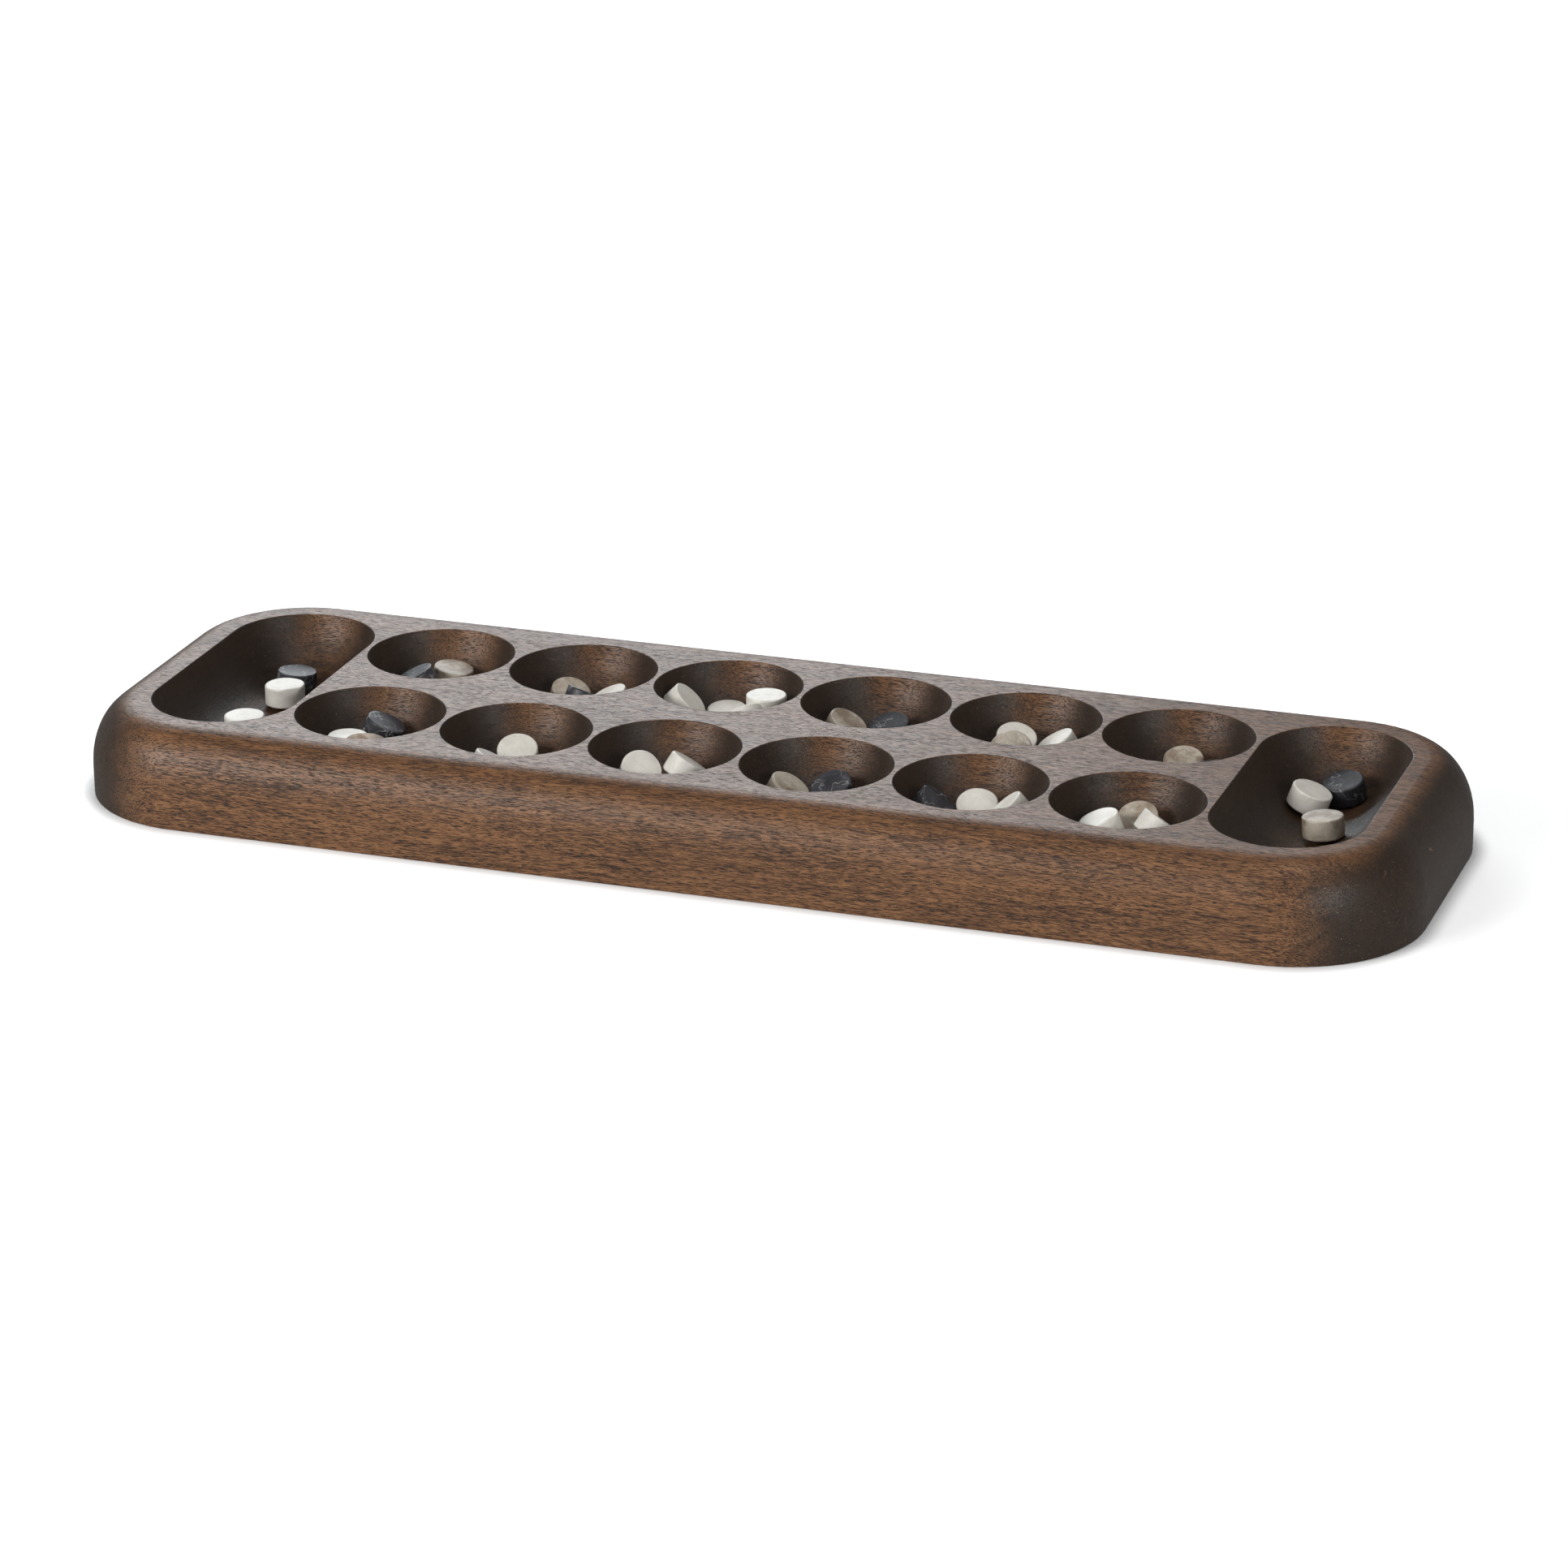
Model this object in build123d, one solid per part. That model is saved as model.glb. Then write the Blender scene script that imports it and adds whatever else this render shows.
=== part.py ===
from build123d import *
import math
import os

# Mancala set: one carved walnut board with two rows of round bowls, a long
# store at each end, and loose honed marble stones lying in the hollows.
#
# Frame: +X runs along the board from the left store to the right store,
# +Y runs from the front row to the back row, +Z is up.
# Origin: centre of the board's underside, on the table. Units: millimetres.

# ---- driving dimensions ----

# the hollows
BOWLS_PER_ROW = 6
BOWL_RADIUS = 38.0        # at the rim
BOWL_DEPTH = 28.5         # from the top face to the lowest point
BOWL_WEB = 2.9            # wood left between neighbouring rims of a row
ROW_GAP = 16.8            # wood left between the front rims and the back rims
RIM_EDGE_RADIUS = 0.6     # small round that eases each rim

# the outside of the board
BOARD_HEIGHT = 48.0
RIM_LAND = 8.1            # flat wood from the rims to the start of the edge round
EDGE_ROUND_WIDTH = 22.3   # how far the elliptical edge round reaches inwards
EDGE_ROUND_DROP = 32.4    # how far it reaches down the side
CORNER_RADIUS = 67.0      # of the outline, seen from above
BASE_EDGE_RADIUS = 0.8    # small round along the underside

# the stones
STONE_DIAMETER = 20.8
STONE_HEIGHT = 10.5
STONE_EDGE_RADIUS = 1.1
STONE_SEAT_CLEARANCE = 0.2  # between a stone and the wood under it
STONE_GAP = 0.5             # between neighbouring stones, seen from above

# ---- sizes that follow from them ----

COLUMN_PITCH = 2 * BOWL_RADIUS + BOWL_WEB
ROW_PITCH = 2 * BOWL_RADIUS + ROW_GAP
STORE_X = (BOWLS_PER_ROW + 1) / 2 * COLUMN_PITCH
RIM_MARGIN = RIM_LAND + EDGE_ROUND_WIDTH
BOARD_LENGTH = 2 * (STORE_X + BOWL_RADIUS + RIM_MARGIN)
BOARD_WIDTH = ROW_PITCH + 2 * (BOWL_RADIUS + RIM_MARGIN)

# each hollow is cut by a ball of this radius, centred above the top face
BALL_RADIUS = (BOWL_RADIUS**2 + BOWL_DEPTH**2) / (2 * BOWL_DEPTH)
BALL_Z = BOARD_HEIGHT - BOWL_DEPTH + BALL_RADIUS

# directions and rim points looked at when stones are kept apart and seated
PLAN_DIRECTIONS = 36
RIM_POINTS = 48
SPREAD_PASSES = 200


# ---- hollows ----
# A hollow is the line that its cutting ball runs along, given by the plan
# position of the line's front and back ends. A round bowl's line has no length.

def make_hollows():
    hollows = {}
    for row, row_y in (("back", ROW_PITCH / 2), ("front", -ROW_PITCH / 2)):
        for column in range(BOWLS_PER_ROW):
            x = (column - (BOWLS_PER_ROW - 1) / 2) * COLUMN_PITCH
            hollows[f"{row}_bowl_{column + 1}"] = ((x, row_y), (x, row_y))
    for side, x in (("left", -STORE_X), ("right", STORE_X)):
        hollows[f"{side}_store"] = ((x, -ROW_PITCH / 2), (x, ROW_PITCH / 2))
    return hollows


def hollow_centre(hollow):
    (front_x, front_y), (back_x, back_y) = hollow
    return (front_x + back_x) / 2, (front_y + back_y) / 2


def nearest_on_line(hollow, x, y):
    (line_x, front_y), (_, back_y) = hollow
    return line_x, min(max(y, front_y), back_y)


def hollow_cutter(hollow):
    (x, front_y), (_, back_y) = hollow
    cutter = Pos(x, back_y, BALL_Z) * Sphere(BALL_RADIUS)
    if back_y > front_y:
        cutter += Pos(x, front_y, BALL_Z) * Sphere(BALL_RADIUS)
        length = back_y - front_y
        cutter += Pos(x, (front_y + back_y) / 2, BALL_Z) * Rot(90, 0, 0) * Cylinder(BALL_RADIUS, length)
    return cutter


# ---- the board ----

def board_outline():
    return RectangleRounded(BOARD_LENGTH, BOARD_WIDTH, CORNER_RADIUS)


def edge_round_cutter():
    # everything outside the quarter ellipse of the edge, swept round the outline
    over = 2.0
    start = (0, -BOARD_WIDTH / 2, BOARD_HEIGHT)
    section_plane = Plane(origin=start, x_dir=(0, -1, 0), z_dir=(-1, 0, 0))
    ellipse_centre = (-EDGE_ROUND_WIDTH, -EDGE_ROUND_DROP)
    arc = EllipticalCenterArc(ellipse_centre, EDGE_ROUND_WIDTH, EDGE_ROUND_DROP, 0, arc_size=90)
    corner = Polyline(
        (-EDGE_ROUND_WIDTH, 0),
        (-EDGE_ROUND_WIDTH, over),
        (over, over),
        (over, -EDGE_ROUND_DROP),
        (0, -EDGE_ROUND_DROP),
    )
    section = section_plane * make_face(arc.edges() + corner.edges())
    path = Pos(0, 0, BOARD_HEIGHT) * board_outline().wire()
    return sweep(section, path)


def make_board(hollows):
    board = extrude(board_outline(), BOARD_HEIGHT)
    board = fillet(board.edges().group_by(Axis.Z)[0], BASE_EDGE_RADIUS)
    outline_edges = board.edges().group_by(Axis.Z)[-1]
    for hollow in hollows.values():
        board -= hollow_cutter(hollow)
    rims = [edge for edge in board.edges().group_by(Axis.Z)[-1] if edge not in outline_edges]
    board = fillet(rims, RIM_EDGE_RADIUS)
    return board - edge_round_cutter()


# ---- the stones ----
# Each stone is listed by the hollow that it lies in. The values are its colour,
# its place east and north of the hollow's centre, how far its axis leans from
# upright, and the compass angle that it leans towards, counted from +X to +Y.

STONES = {
    "left_store": [
        ("black", -1, 41, 5, 40),
        ("white", 2, 19, 0, 0),
        ("white", 1, -29, 0, 0),
        ("beige", 1, -61, 20, 85),
    ],
    "right_store": [
        ("white", -9, 33, 20, 5),
        ("black", 4, 52, 15, 235),
        ("beige", 6, 0, 5, 160),
        ("white", 1, -61, 20, 85),
    ],
    "back_bowl_1": [
        ("black", -10, -8, 25, 195),
        ("beige", 1, 11, 10, 0),
        ("white", 14, -10, 30, 145),
    ],
    "back_bowl_2": [
        ("beige", -11, 7, 25, 325),
        ("black", 7, -18, 30, 60),
        ("white", 13, 4, 25, 205),
    ],
    "back_bowl_3": [
        ("white", -22, -3, 45, 10),
        ("white", -3, 6, 5, 285),
        ("white", 17, 4, 0, 0),
        ("white", 15, -15, 40, 140),
    ],
    "back_bowl_4": [
        ("beige", -17, 1, 30, 355),
        ("black", 4, 11, 20, 250),
        ("white", 0, -16, 20, 85),
    ],
    "back_bowl_5": [
        ("white", -9, 11, 25, 310),
        ("beige", -5, -10, 65, 305),
        ("white", 15, 7, 30, 195),
    ],
    "back_bowl_6": [
        ("beige", 0, 8, 20, 280),
        ("white", -6, -13, 20, 85),
        ("black", 13, -9, 25, 130),
    ],
    "front_bowl_1": [
        ("white", -9, -7, 0, 0),
        ("beige", 6, -21, 40, 105),
        ("black", 1, 13, 25, 10),
    ],
    "front_bowl_2": [
        ("white", -9, -13, 30, 40),
        ("white", -4, 11, 30, 285),
        ("beige", 15, -8, 30, 150),
    ],
    "front_bowl_3": [
        ("white", -12, -3, 45, 305),
        ("white", 7, 8, 35, 40),
        ("black", 7, -17, 35, 110),
    ],
    "front_bowl_4": [
        ("beige", -16, 1, 30, 0),
        ("black", 4, 13, 25, 250),
        ("white", 1, -15, 20, 85),
    ],
    "front_bowl_5": [
        ("black", -19, -2, 40, 5),
        ("white", 0, 11, 25, 280),
        ("white", 20, -1, 40, 190),
        ("beige", 3, -18, 35, 100),
    ],
    "front_bowl_6": [
        ("white", -12, -4, 20, 205),
        ("beige", 1, 15, 30, 265),
        ("white", 15, -3, 40, 40),
    ],
}


def stone_axis(lean, towards):
    across = math.sin(math.radians(lean))
    angle = math.radians(towards)
    return Vector(across * math.cos(angle), across * math.sin(angle), math.cos(math.radians(lean)))


def plan_reach(axis, direction):
    # half the width of a leaning stone's outline from above, along a level direction
    along = min(abs(axis.dot(direction)), 1.0)
    return STONE_DIAMETER / 2 * math.sqrt(1 - along**2) + STONE_HEIGHT / 2 * along


def widest_separation(first, second):
    # the level direction in which two stones stand furthest apart, and that gap
    best_gap = -math.inf
    for step in range(PLAN_DIRECTIONS):
        angle = 2 * math.pi * step / PLAN_DIRECTIONS
        direction = Vector(math.cos(angle), math.sin(angle), 0)
        gap = (second["x"] - first["x"]) * direction.X + (second["y"] - first["y"]) * direction.Y
        gap -= plan_reach(first["axis"], direction) + plan_reach(second["axis"], direction)
        if gap > best_gap:
            best_gap, best_direction = gap, direction
    return best_gap, best_direction


def keep_apart(first, second):
    gap, direction = widest_separation(first, second)
    push = max(0.0, STONE_GAP - gap) / 2
    first["x"] -= push * direction.X
    first["y"] -= push * direction.Y
    second["x"] += push * direction.X
    second["y"] += push * direction.Y
    return push


def keep_inside(stone, hollow):
    near_x, near_y = nearest_on_line(hollow, stone["x"], stone["y"])
    outwards = Vector(stone["x"] - near_x, stone["y"] - near_y, 0)
    if outwards.length == 0:
        return 0.0
    direction = outwards.normalized()
    reach = outwards.length + plan_reach(stone["axis"], direction)
    pull = max(0.0, reach - BOWL_RADIUS + STONE_GAP)
    stone["x"] -= pull * direction.X
    stone["y"] -= pull * direction.Y
    return pull


def spread_stones(stones, hollow):
    # no stone may lie above another, so that each one can be lifted straight out
    for _ in range(SPREAD_PASSES):
        moved = 0.0
        for index, first in enumerate(stones):
            for second in stones[index + 1:]:
                moved += keep_apart(first, second)
            moved += keep_inside(first, hollow)
        if moved == 0:
            break


def seat_height(stone, hollow):
    # height of the stone's centre when its lowest rim point reaches the wood
    axis = stone["axis"]
    level = Vector(0, 0, 1).cross(axis)
    level = level.normalized() if level.length > 0 else Vector(1, 0, 0)
    other = axis.cross(level)
    ball = BALL_RADIUS - STONE_SEAT_CLEARANCE
    height = -math.inf
    for end in (-1, 1):
        for step in range(RIM_POINTS):
            angle = 2 * math.pi * step / RIM_POINTS
            point = axis * (end * STONE_HEIGHT / 2)
            point += (level * math.cos(angle) + other * math.sin(angle)) * (STONE_DIAMETER / 2)
            x, y = stone["x"] + point.X, stone["y"] + point.Y
            near_x, near_y = nearest_on_line(hollow, x, y)
            reach = min(math.hypot(x - near_x, y - near_y), ball)
            height = max(height, BALL_Z - math.sqrt(ball**2 - reach**2) - point.Z)
    return height


def seat_stones(hollows):
    seated = {}
    for hollow_name, listed in STONES.items():
        hollow = hollows[hollow_name]
        centre_x, centre_y = hollow_centre(hollow)
        stones = []
        for number, (colour, east, north, lean, towards) in enumerate(listed, start=1):
            name = f"{hollow_name}_{colour}_stone_{number}"
            x, y = centre_x + east, centre_y + north
            stones.append({"name": name, "x": x, "y": y, "axis": stone_axis(lean, towards)})
        spread_stones(stones, hollow)
        for stone in stones:
            stone["z"] = seat_height(stone, hollow)
            seated[stone["name"]] = stone
    return seated


def make_stone(stone):
    blank = Cylinder(STONE_DIAMETER / 2, STONE_HEIGHT)
    blank = fillet(blank.edges().filter_by(GeomType.CIRCLE), STONE_EDGE_RADIUS)
    place = Plane(origin=(stone["x"], stone["y"], stone["z"]), z_dir=stone["axis"])
    return place * blank


def main():
    os.makedirs("parts", exist_ok=True)
    hollows = make_hollows()
    export_step(make_board(hollows), "parts/board.step")
    for name, stone in seat_stones(hollows).items():
        export_step(make_stone(stone), f"parts/{name}.step")


main()
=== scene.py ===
import math

import bmesh
import bpy
from mathutils import Matrix, Vector, noise


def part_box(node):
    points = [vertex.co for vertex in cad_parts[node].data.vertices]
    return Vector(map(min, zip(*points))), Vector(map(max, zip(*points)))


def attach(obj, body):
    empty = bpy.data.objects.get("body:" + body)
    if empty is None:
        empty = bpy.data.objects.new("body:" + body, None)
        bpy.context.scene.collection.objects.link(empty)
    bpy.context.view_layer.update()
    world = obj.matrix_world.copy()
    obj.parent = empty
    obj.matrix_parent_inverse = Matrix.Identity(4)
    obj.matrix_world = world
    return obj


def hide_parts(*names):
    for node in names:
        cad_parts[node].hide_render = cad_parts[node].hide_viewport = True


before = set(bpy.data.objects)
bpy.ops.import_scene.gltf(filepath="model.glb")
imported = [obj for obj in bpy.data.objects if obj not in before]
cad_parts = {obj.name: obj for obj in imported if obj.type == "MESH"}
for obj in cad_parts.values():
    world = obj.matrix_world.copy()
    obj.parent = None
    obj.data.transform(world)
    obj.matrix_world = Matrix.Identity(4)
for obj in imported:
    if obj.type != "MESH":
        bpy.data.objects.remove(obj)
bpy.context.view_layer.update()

MM = 0.001
_, BOARD_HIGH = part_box("board")
HALF_LENGTH = BOARD_HIGH.x
HALF_WIDTH = BOARD_HIGH.y
BOARD_TOP = BOARD_HIGH.z
MIDDLE_GREY = (0.5, 0.5, 0.5)


# ---- camera ----

VIEW_AZIMUTH = 19.348
VIEW_ELEVATION = 20.862
VIEW_ROLL = -0.459
VIEW_DISTANCE = 2.6906
AIM = Vector((0.00895, -0.00796, 0.01991))
FOCAL_LENGTH = 124.02
SENSOR_WIDTH = 36.0


def make_camera():
    azimuth, elevation, roll = (math.radians(v) for v in (VIEW_AZIMUTH, VIEW_ELEVATION, VIEW_ROLL))
    back = Vector((math.sin(azimuth) * math.cos(elevation),
                   -math.cos(azimuth) * math.cos(elevation),
                   math.sin(elevation)))
    level = Vector((math.cos(azimuth), math.sin(azimuth), 0))
    upright = back.cross(level)
    right = level * math.cos(roll) + upright * math.sin(roll)
    up = back.cross(right)
    data = bpy.data.cameras.new("camera")
    data.lens = FOCAL_LENGTH
    data.sensor_width = SENSOR_WIDTH
    data.clip_end = 100
    camera = bpy.data.objects.new("camera", data)
    turn = Matrix((right, up, back)).transposed().to_4x4()
    camera.matrix_world = Matrix.Translation(AIM + back * VIEW_DISTANCE) @ turn
    bpy.context.scene.collection.objects.link(camera)
    bpy.context.scene.camera = camera


# ---- node graphs ----

class Graph:
    """A short way to write a material's or a world's nodes."""

    def __init__(self, owner):
        owner.use_nodes = True
        self.tree = owner.node_tree
        self.tree.nodes.clear()

    def node(self, kind, inputs=None, **settings):
        made = self.tree.nodes.new(kind)
        for key, value in settings.items():
            setattr(made, key, value)
        for key, value in (inputs or {}).items():
            self.put(made.inputs[key], value)
        return made

    def put(self, socket, value):
        if isinstance(value, bpy.types.NodeSocket):
            self.tree.links.new(value, socket)
        elif isinstance(value, (tuple, list)) and len(value) == 3 and socket.type == "RGBA":
            socket.default_value = (*value, 1)
        else:
            socket.default_value = value

    def math(self, operation, *values, clamp=False):
        made = self.node("ShaderNodeMath", operation=operation, use_clamp=clamp)
        for socket, value in zip(made.inputs, values):
            self.put(socket, value)
        return made.outputs[0]

    def vector(self, operation, *values):
        made = self.node("ShaderNodeVectorMath", operation=operation)
        for socket, value in zip(made.inputs, values):
            self.put(socket, value)
        return made.outputs["Value" if operation == "LENGTH" else "Vector"]

    def stretched(self, vector, stretch, detail=2.0, roughness=0.5, colour=False):
        """Noise whose grain is drawn out along X: stretch is its fineness along each axis."""
        return self.noise(self.vector("MULTIPLY", vector, stretch), 1, detail, roughness, colour)

    def centred(self, value):
        return self.math("SUBTRACT", value, 0.5)

    def split(self, vector):
        made = self.node("ShaderNodeSeparateXYZ", {"Vector": vector})
        return made.outputs

    def join(self, x, y, z):
        return self.node("ShaderNodeCombineXYZ", {"X": x, "Y": y, "Z": z}).outputs[0]

    def mix(self, factor, first, second, blend="MIX"):
        made = self.node("ShaderNodeMix", data_type="RGBA", blend_type=blend, clamp_factor=True)
        self.put(made.inputs["Factor"], factor)
        self.put(made.inputs[6], first)
        self.put(made.inputs[7], second)
        return made.outputs[2]

    def noise(self, vector, scale=1.0, detail=2.0, roughness=0.5, colour=False):
        made = self.node("ShaderNodeTexNoise", {
            "Vector": vector, "Scale": scale, "Detail": detail, "Roughness": roughness})
        return made.outputs["Color" if colour else "Fac"]

    def step(self, value, low, high, to_low=0.0, to_high=1.0):
        made = self.node("ShaderNodeMapRange", {
            "Value": value, "From Min": low, "From Max": high,
            "To Min": to_low, "To Max": to_high}, interpolation_type="SMOOTHSTEP")
        return made.outputs[0]

    def ramp(self, value, stops):
        made = self.node("ShaderNodeValToRGB", {"Fac": value})
        elements = made.color_ramp.elements
        while len(elements) < len(stops):
            elements.new(0.5)
        for element, (place, colour) in zip(elements, stops):
            element.position = place
            element.color = (*colour, 1)
        return made.outputs["Color"]


def surface(graph, colour, roughness, height, distance, specular):
    bump = graph.node("ShaderNodeBump", {"Height": height, "Distance": distance, "Strength": 1.0})
    shader = graph.node("ShaderNodeBsdfPrincipled", {
        "Base Color": colour, "Roughness": roughness, "Normal": bump.outputs[0]})
    shader.inputs["Specular IOR Level"].default_value = specular
    graph.node("ShaderNodeOutputMaterial", {"Surface": shader.outputs[0]})
    return shader


# ---- walnut ----

PITH_Y = 0.035
PITH_Z = -0.085
RING_WIDTH = 0.0034
RING_WANDER = 0.020

# how fine each layer of the wood is along X, Y and Z
WANDER_STRETCH = (3.2, 16, 16)
BLOTCH_STRETCH = (9, 42, 42)
STREAK_STRETCH = (30, 430, 430)
FIBRE_STRETCH = (150, 1900, 1900)
PORE_STRETCH = (230, 3000, 3000)
CROWDING_STRETCH = (22, 260, 260)
WORN_STRETCH = (48, 48, 48)
SCRATCH_STRETCH = (26, 26, 60)
BROKEN_STRETCH = (90, 90, 90)
CUTTER_STRETCH = (8, 8, 1100)

# how much each layer moves the tone of the wood, from the pale end of SIDE_GRAIN to the dark end
TONE_START = 0.34
RING_WEIGHT = 0.18
BLOTCH_WEIGHT = 0.85
STREAK_WEIGHT = 1.35
FIBRE_WEIGHT = 3.4

SIDE_GRAIN = [
    (0.0, (0.210, 0.098, 0.040)),
    (0.30, (0.150, 0.066, 0.026)),
    (0.62, (0.092, 0.041, 0.017)),
    (0.88, (0.042, 0.020, 0.010)),
    (1.0, (0.026, 0.014, 0.008)),
]
END_GRAIN_DARK = (0.014, 0.0095, 0.0065)
END_GRAIN_PALE = (0.034, 0.021, 0.013)
HOLLOW_PAINTED_SHADE = (0.017, 0.011, 0.008)
WORN_WOOD = (0.150, 0.070, 0.030)
PORE_COLOUR = (0.012, 0.008, 0.006)
DUST_COLOUR = (0.42, 0.38, 0.33)
SCRATCH_COLOUR = (0.26, 0.17, 0.10)

# the hollows begin this far in from the board's sides, as the low and high end of a soft step
HOLLOWS_FROM = (0.0262, 0.0268)


def walnut_material():
    material = bpy.data.materials.new("walnut")
    g = Graph(material)
    place = g.node("ShaderNodeTexCoord").outputs["Object"]
    normal = g.node("ShaderNodeNewGeometry").outputs["Normal"]
    x, y, z = g.split(place)

    # growth rings round a pith below the board, gently wavy along the grain
    wander = g.vector("SUBTRACT", g.stretched(place, WANDER_STRETCH, colour=True), MIDDLE_GREY)
    bent = g.vector("ADD", place, g.vector("MULTIPLY", wander, (0, RING_WANDER, RING_WANDER)))
    _, bent_y, bent_z = g.split(bent)
    across = g.join(0, g.math("SUBTRACT", bent_y, PITH_Y), g.math("SUBTRACT", bent_z, PITH_Z))
    radius = g.math("DIVIDE", g.vector("LENGTH", across), RING_WIDTH)
    rings = g.math("FRACT", radius)

    # fibres, pores and blotches, all long in X
    blotch = g.stretched(place, BLOTCH_STRETCH, 3, 0.6)
    streak = g.stretched(bent, STREAK_STRETCH, 3, 0.65)
    fibre = g.stretched(bent, FIBRE_STRETCH, 3, 0.75)
    pore_field = g.stretched(bent, PORE_STRETCH, 1)
    crowding = g.stretched(bent, CROWDING_STRETCH)
    pore_field = g.math("ADD", pore_field, g.math("MULTIPLY", g.centred(crowding), 0.16))
    pores = g.step(pore_field, 0.575, 0.62)

    tone = TONE_START
    weights = ((rings, RING_WEIGHT), (blotch, BLOTCH_WEIGHT), (streak, STREAK_WEIGHT), (fibre, FIBRE_WEIGHT))
    for layer, weight in weights:
        tone = g.math("ADD", tone, g.math("MULTIPLY", g.centred(layer), weight))
    colour = g.ramp(g.math("ADD", tone, 0.0, clamp=True), SIDE_GRAIN)

    # the stain went deeper into end grain: the board's ends and the left and right walls of the hollows
    normal_x, _, _ = g.split(normal)
    end_on = g.math("ABSOLUTE", normal_x)
    end_on = g.math("ADD", end_on, g.math("MULTIPLY", g.centred(blotch), 0.3))
    end_grain = g.step(end_on, 0.12, 0.62)
    end_colour = g.mix(g.step(fibre, 0.3, 0.7), END_GRAIN_DARK, END_GRAIN_PALE)
    colour = g.mix(g.math("MULTIPLY", end_grain, 0.9), colour, end_colour)

    # inside the hollows the wood is darkened more the deeper it goes, as painted shade, with worn patches of
    # the bare colour
    inner = g.math("MULTIPLY",
                   g.step(g.math("SUBTRACT", HALF_LENGTH, g.math("ABSOLUTE", x)), *HOLLOWS_FROM),
                   g.step(g.math("SUBTRACT", HALF_WIDTH, g.math("ABSOLUTE", y)), *HOLLOWS_FROM))
    depth = g.math("SUBTRACT", BOARD_TOP, z)
    inside = g.math("MULTIPLY", inner, g.step(depth, 0.0003, 0.0012))
    deep_painted_shade = g.math("MULTIPLY", inner, g.step(depth, 0.001, 0.020))
    # painted shade: darker towards the bottom of each hollow
    colour = g.mix(g.math("MULTIPLY", deep_painted_shade, 0.6), colour, HOLLOW_PAINTED_SHADE)
    worn = g.math("MULTIPLY", g.step(g.stretched(place, WORN_STRETCH, 3, 0.6), 0.50, 0.68), inside)
    worn = g.math("MULTIPLY", worn, g.math("SUBTRACT", 1.0, end_grain))
    worn = g.math("MULTIPLY", worn, g.step(fibre, 0.35, 0.62, 0.15, 0.75))
    colour = g.mix(worn, colour, WORN_WOOD)
    colour = g.mix(g.math("MULTIPLY", pores, 0.85), colour, PORE_COLOUR)

    # specks of dust and short thin scratches
    dust = g.step(g.noise(place, 1500, 0), 0.80, 0.84, 0, 0.35)
    colour = g.mix(dust, colour, DUST_COLOUR)
    scratch_line = g.math("ABSOLUTE", g.centred(g.stretched(place, SCRATCH_STRETCH, 0)))
    broken = g.step(g.stretched(place, BROKEN_STRETCH, 1), 0.62, 0.70)
    scratches = g.math("MULTIPLY", g.step(scratch_line, 0.0035, 0.0), broken)
    colour = g.mix(g.math("MULTIPLY", scratches, 0.5), colour, SCRATCH_COLOUR)

    # the relief: fibres and streaks stand up, pores are sunk, and the cutter left fine rings in the hollows
    cutter = g.math("MULTIPLY", g.stretched(place, CUTTER_STRETCH, 3, 0.75), inside)
    cutter = g.math("MULTIPLY", cutter, 1.1)
    height = g.math("SUBTRACT", g.math("MULTIPLY", fibre, 0.6), g.math("MULTIPLY", pores, 1.0))
    height = g.math("ADD", height, g.math("MULTIPLY", streak, 0.3))
    height = g.math("ADD", height, cutter)
    roughness = g.math("ADD", 0.36, g.math("MULTIPLY", fibre, 0.12))
    roughness = g.math("ADD", roughness, g.math("MULTIPLY", pores, 0.2))
    surface(g, colour, roughness, height, 0.16 * MM, 0.4)
    return material


# ---- honed marble ----
# Each kind has two cloud colours with the step between them, then the layers laid over
# them: the field it follows, where the field's step begins and ends, how strong, and its colour.

MARBLE = {
    "white": (
        (0.35, 0.7), (0.74, 0.71, 0.645), (0.64, 0.605, 0.540),
        [("mottle", 0.52, 0.72, 0.45, (0.52, 0.495, 0.45)),
         ("mottle", 0.42, 0.25, 0.5, (0.76, 0.73, 0.67)),
         ("vein", 0.012, 0.0, 0.22, (0.50, 0.47, 0.43))]),
    "black": (
        (0.3, 0.75), (0.020, 0.020, 0.024), (0.055, 0.056, 0.064),
        [("mottle", 0.5, 0.8, 0.6, (0.15, 0.15, 0.155)),
         ("vein", 0.010, 0.0, 0.5, (0.42, 0.42, 0.42))]),
    "beige": (
        (0.38, 0.66), (0.50, 0.440, 0.360), (0.24, 0.180, 0.130),
        [("mottle", 0.5, 0.75, 0.6, (0.27, 0.225, 0.18)),
         ("mottle", 0.42, 0.25, 0.7, (0.74, 0.71, 0.65)),
         ("grit", 0.64, 0.72, 0.7, (0.12, 0.075, 0.05))]),
}
FINE_GRIT = ("grit", 0.60, 0.80, 0.12, (0.2, 0.18, 0.16))
SEED_SHIFT = (0.137, 0.071, 0.053)
WARP_REACH = 0.012


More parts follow.
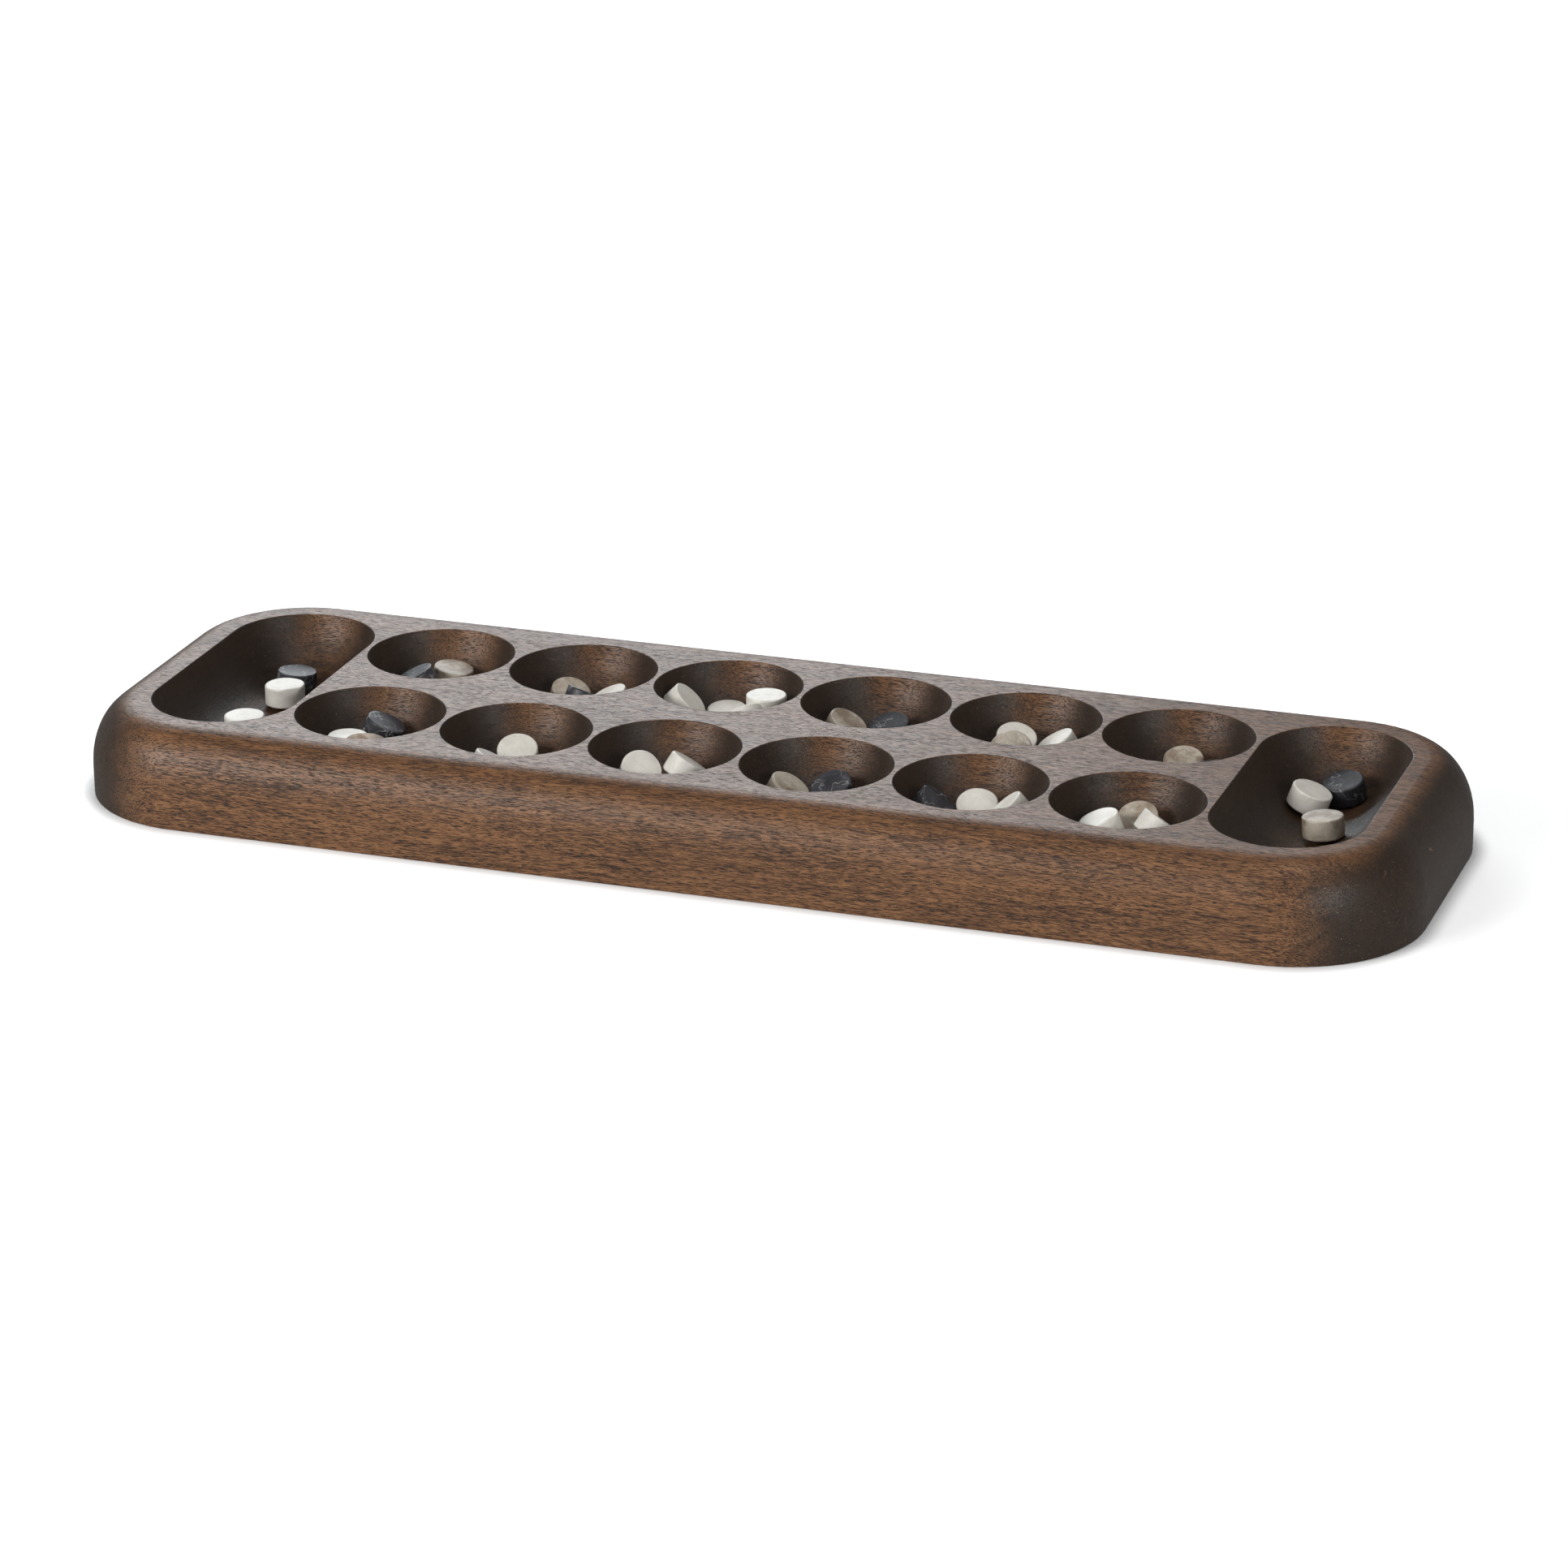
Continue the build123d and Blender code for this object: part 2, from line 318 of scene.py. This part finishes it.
def stone_material(name, kind, seed):
    material = bpy.data.materials.new(name)
    g = Graph(material)
    shift = tuple(seed * step for step in SEED_SHIFT)
    place = g.vector("ADD", g.node("ShaderNodeTexCoord").outputs["Object"], shift)
    warp = g.vector("SUBTRACT", g.noise(place, 90, colour=True), MIDDLE_GREY)
    bent = g.vector("ADD", place, g.vector("MULTIPLY", warp, (WARP_REACH, WARP_REACH, WARP_REACH)))
    cloud = g.noise(bent, 75, 3, 0.55)
    fields = {
        "mottle": g.noise(bent, 330, 4, 0.65),
        "grit": g.noise(place, 1500, 2, 0.6),
        "vein": g.math("ABSOLUTE", g.centred(g.noise(bent, 60, 3, 0.55))),
    }
    cloud_step, first, second, layers = MARBLE[kind]
    colour = g.mix(g.step(cloud, *cloud_step), first, second)
    for field, low, high, strength, layer_colour in layers + [FINE_GRIT]:
        colour = g.mix(g.step(fields[field], low, high, 0, strength), colour, layer_colour)
    height = g.math("MULTIPLY", fields["mottle"], 0.5)
    height = g.math("ADD", height, g.math("MULTIPLY", fields["grit"], 0.5))
    roughness = g.math("ADD", 0.34, g.math("MULTIPLY", fields["mottle"], 0.16))
    surface(g, colour, roughness, height, 0.08 * MM, 0.35)
    return material


def stone_place(node):
    """Centre, axis (pointing up), radius and half height of a CAD stone, read from its mesh."""
    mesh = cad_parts[node].data
    low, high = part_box(node)
    centre = (low + high) / 2
    cap = max(mesh.polygons, key=lambda polygon: polygon.area)
    axis = Vector(cap.normal).normalized()
    if axis.z < 0:
        axis.negate()
    along = [abs((v.co - centre).dot(axis)) for v in mesh.vertices]
    across = [(v.co - centre - axis * (v.co - centre).dot(axis)).length for v in mesh.vertices]
    return centre, axis, max(across), max(along)


STONE_SEGMENTS = 84
CAP_SHARES = (0.0, 0.3, 0.55, 0.75, 0.9)
SIDE_SHARES = (0.7, 0.35, 0.0)
EDGE_STEPS = 8
EDGE_ROUND = 0.95          # millimetres, give or take EDGE_WOBBLE round the rim
EDGE_WOBBLE = 0.5
BROAD_DENT = 0.16          # millimetres that the worn faces lie inside the true cylinder
FINE_DENT = 0.05
FACET_SOFTNESS = 0.25      # millimetres over which a flat runs out


def stone_mesh(name, node, seed, facets=()):
    centre, axis, radius, half = stone_place(node)
    level = Vector((0, 0, 1)).cross(axis)
    level = level.normalized() if level.length > 1e-4 else Vector((1, 0, 0))
    other = axis.cross(level)
    rows = []
    for share in CAP_SHARES:
        rows.append(("cap", share))
    for step in range(EDGE_STEPS + 1):
        rows.append(("edge", step / EDGE_STEPS))
    for share in SIDE_SHARES:
        rows.append(("side", share))
    points = []
    rows = rows + [(kind, share, -1) for kind, share in reversed(rows[:-1])]
    for row in rows:
        kind, share, end = row if len(row) == 3 else (*row, 1)
        ring = []
        for index in range(1 if (kind, share) == ("cap", 0.0) else STONE_SEGMENTS):
            angle = 2 * math.pi * index / STONE_SEGMENTS
            out = Vector((math.cos(angle), math.sin(angle), 0))
            wobble = noise.noise(out * 1.3 + Vector((seed * 1.7, end * 3.1, 0.4)))
            fillet = (EDGE_ROUND + EDGE_WOBBLE * wobble) * MM
            if kind == "cap":
                r, h = share * (radius - fillet), half
            elif kind == "edge":
                turn = share * math.pi / 2
                r = radius - fillet + fillet * math.sin(turn)
                h = half - fillet + fillet * math.cos(turn)
            else:
                r, h = radius, share * (half - fillet)
            local = Vector((out.x * r, out.y * r, end * h))
            broad = 0.5 + 0.5 * noise.noise(local * 95 + Vector((seed * 2.3, 0, 0)))
            fine = 0.5 + 0.5 * noise.noise(local * 420 + Vector((0, seed, 0)))
            dent = broad * BROAD_DENT + FINE_DENT * fine
            sideways = Vector((out.x, out.y, 0)) * (r / radius) ** 4
            inward = sideways + Vector((0, 0, end)) * min(1, h / half) ** 6
            local -= inward.normalized() * dent * MM if inward.length > 0 else Vector((0, 0, 0))
            ring.append(level * local.x + other * local.y + axis * local.z)
        points.append(ring)
    for direction, cut in facets:
        direction = Vector(direction).normalized()
        reach = max(p.dot(direction) for ring in points for p in ring) - cut * MM
        soft = FACET_SOFTNESS * MM
        for ring in points:
            for p in ring:
                over = p.dot(direction) - reach
                p -= direction * (soft * math.log1p(math.exp(over / soft)) if over < 40 * soft else over)
    mesh = bpy.data.meshes.new(name)
    bm = bmesh.new()
    made = [[bm.verts.new(centre + p) for p in ring] for ring in points]
    for upper, lower in zip(made, made[1:]):
        for index in range(STONE_SEGMENTS):
            after = (index + 1) % STONE_SEGMENTS
            if len(upper) == 1:
                bm.faces.new((upper[0], lower[index], lower[after]))
            elif len(lower) == 1:
                bm.faces.new((upper[index], lower[0], upper[after]))
            else:
                bm.faces.new((upper[index], lower[index], lower[after], upper[after]))
    bmesh.ops.recalc_face_normals(bm, faces=bm.faces)
    for face in bm.faces:
        face.smooth = True
    bm.to_mesh(mesh)
    bm.free()
    return mesh


# flats worn on single stones: the way each one faces and how deep it goes in millimetres
FACETS = {
    "back_bowl_6_beige_stone_1": [((-0.6, -0.5, 0.6), 1.4), ((0.7, -0.4, 0.6), 1.4)],
    "front_bowl_5_black_stone_1": [((-0.7, -0.3, 0.6), 1.3), ((0.5, -0.4, 0.75), 1.2)],
    "front_bowl_3_white_stone_1": [((0.6, -0.3, 0.7), 1.3)],
    "front_bowl_6_white_stone_1": [((0.5, -0.6, 0.6), 1.2)],
    "left_store_white_stone_2": [((0.6, -0.6, 0.5), 1.1)],
}


def make_stones():
    stones = sorted(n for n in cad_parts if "_stone_" in n)
    for seed, node in enumerate(stones, start=1):
        kind = next(colour for colour in ("white", "black", "beige") if f"_{colour}_" in node)
        name = f"marble_{node}"
        mesh = stone_mesh(name, node, seed, FACETS.get(node, ()))
        mesh.materials.append(stone_material(name, kind, seed))
        stone = bpy.data.objects.new(name, mesh)
        bpy.context.scene.collection.objects.link(stone)
        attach(stone, node)
        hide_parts(node)


# ---- studio ----

CORNER_RADIUS = 0.067      # of the board's outline, seen from above
FLOOR_GLOW = 0.45
PAINTED_SHADOW_WIDTH = 0.010


def make_floor():
    bm = bmesh.new()
    bmesh.ops.create_grid(bm, x_segments=40, y_segments=40, size=9)
    mesh = bpy.data.meshes.new("floor")
    bm.to_mesh(mesh)
    bm.free()
    material = bpy.data.materials.new("studio_floor")
    g = Graph(material)
    place = g.node("ShaderNodeTexCoord").outputs["Object"]
    speckle = g.noise(place, 40, 2, 0.5)
    colour = g.mix(speckle, (0.90, 0.90, 0.90), (0.93, 0.93, 0.93))
    shader = surface(g, colour, 0.7, speckle, 0.01 * MM, 0.1)

    # the floor glows by itself away from the board, as painted light that keeps it white; the strip along
    # the board's outline gets no glow and is a painted contact shadow
    x, y, _ = g.split(place)
    off_x = g.math("MAXIMUM", g.math("SUBTRACT", g.math("ABSOLUTE", x), HALF_LENGTH - CORNER_RADIUS), 0.0)
    off_y = g.math("MAXIMUM", g.math("SUBTRACT", g.math("ABSOLUTE", y), HALF_WIDTH - CORNER_RADIUS), 0.0)
    reach = g.math("SUBTRACT", g.vector("LENGTH", g.join(off_x, off_y, 0)), CORNER_RADIUS)
    shader.inputs["Emission Color"].default_value = (1, 1, 1, 1)
    # painted light on the floor, fading to a painted contact shadow at the board's outline
    g.put(shader.inputs["Emission Strength"], g.step(reach, 0.0, PAINTED_SHADOW_WIDTH, 0.0, FLOOR_GLOW))
    mesh.materials.append(material)
    floor = bpy.data.objects.new("floor", mesh)
    bpy.context.scene.collection.objects.link(floor)
    floor.visible_glossy = False


# the brightness of the world above and below the horizon, and what is added in front
ABOVE, ABOVE_IN_FRONT = 0.16, 0.12
BELOW, BELOW_IN_FRONT = 0.30, 0.15


def make_world():
    world = bpy.data.worlds.new("studio")
    bpy.context.scene.world = world
    g = Graph(world)
    direction = g.node("ShaderNodeTexCoord").outputs["Generated"]
    x, y, z = g.split(direction)
    upper = g.step(z, -0.05, 0.15)
    in_front = g.step(y, 0.3, -0.6)
    above = g.math("ADD", ABOVE, g.math("MULTIPLY", in_front, ABOVE_IN_FRONT))
    below = g.math("ADD", BELOW, g.math("MULTIPLY", in_front, BELOW_IN_FRONT))
    glow = g.math("ADD", g.math("MULTIPLY", upper, above),
                  g.math("MULTIPLY", g.math("SUBTRACT", 1.0, upper), below))
    background = g.node("ShaderNodeBackground", {"Color": (1.0, 1.0, 1.0), "Strength": glow})
    g.node("ShaderNodeOutputWorld", {"Surface": background.outputs[0]})


def softbox(name, place, size, power, aim=(0, 0, 0), colour=(1, 1, 1)):
    data = bpy.data.lights.new(name, "AREA")
    data.shape = "RECTANGLE"
    data.size, data.size_y = size
    data.energy = power
    data.color = colour
    lamp = bpy.data.objects.new(name, data)
    bpy.context.scene.collection.objects.link(lamp)
    lamp.location = place
    lamp.rotation_euler = (Vector(aim) - Vector(place)).to_track_quat("-Z", "Y").to_euler()


def make_studio():
    make_floor()
    make_world()
    softbox("key_light", (-1.85, -2.15, 1.55), (1.6, 0.9), 66)
    softbox("top_light", (0.5, -0.3, 2.7), (1.1, 1.1), 12)
    softbox("fill_light", (2.6, -2.0, 1.3), (1.0, 0.8), 34)
    softbox("back_light", (-1.25, 2.5, 1.15), (1.6, 0.8), 34, colour=(0.90, 0.96, 1.0))
    view = bpy.context.scene.view_settings
    view.view_transform = "Standard"
    view.look = "None"


make_camera()
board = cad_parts["board"]
board.data.materials.clear()
board.data.materials.append(walnut_material())
make_stones()
make_studio()
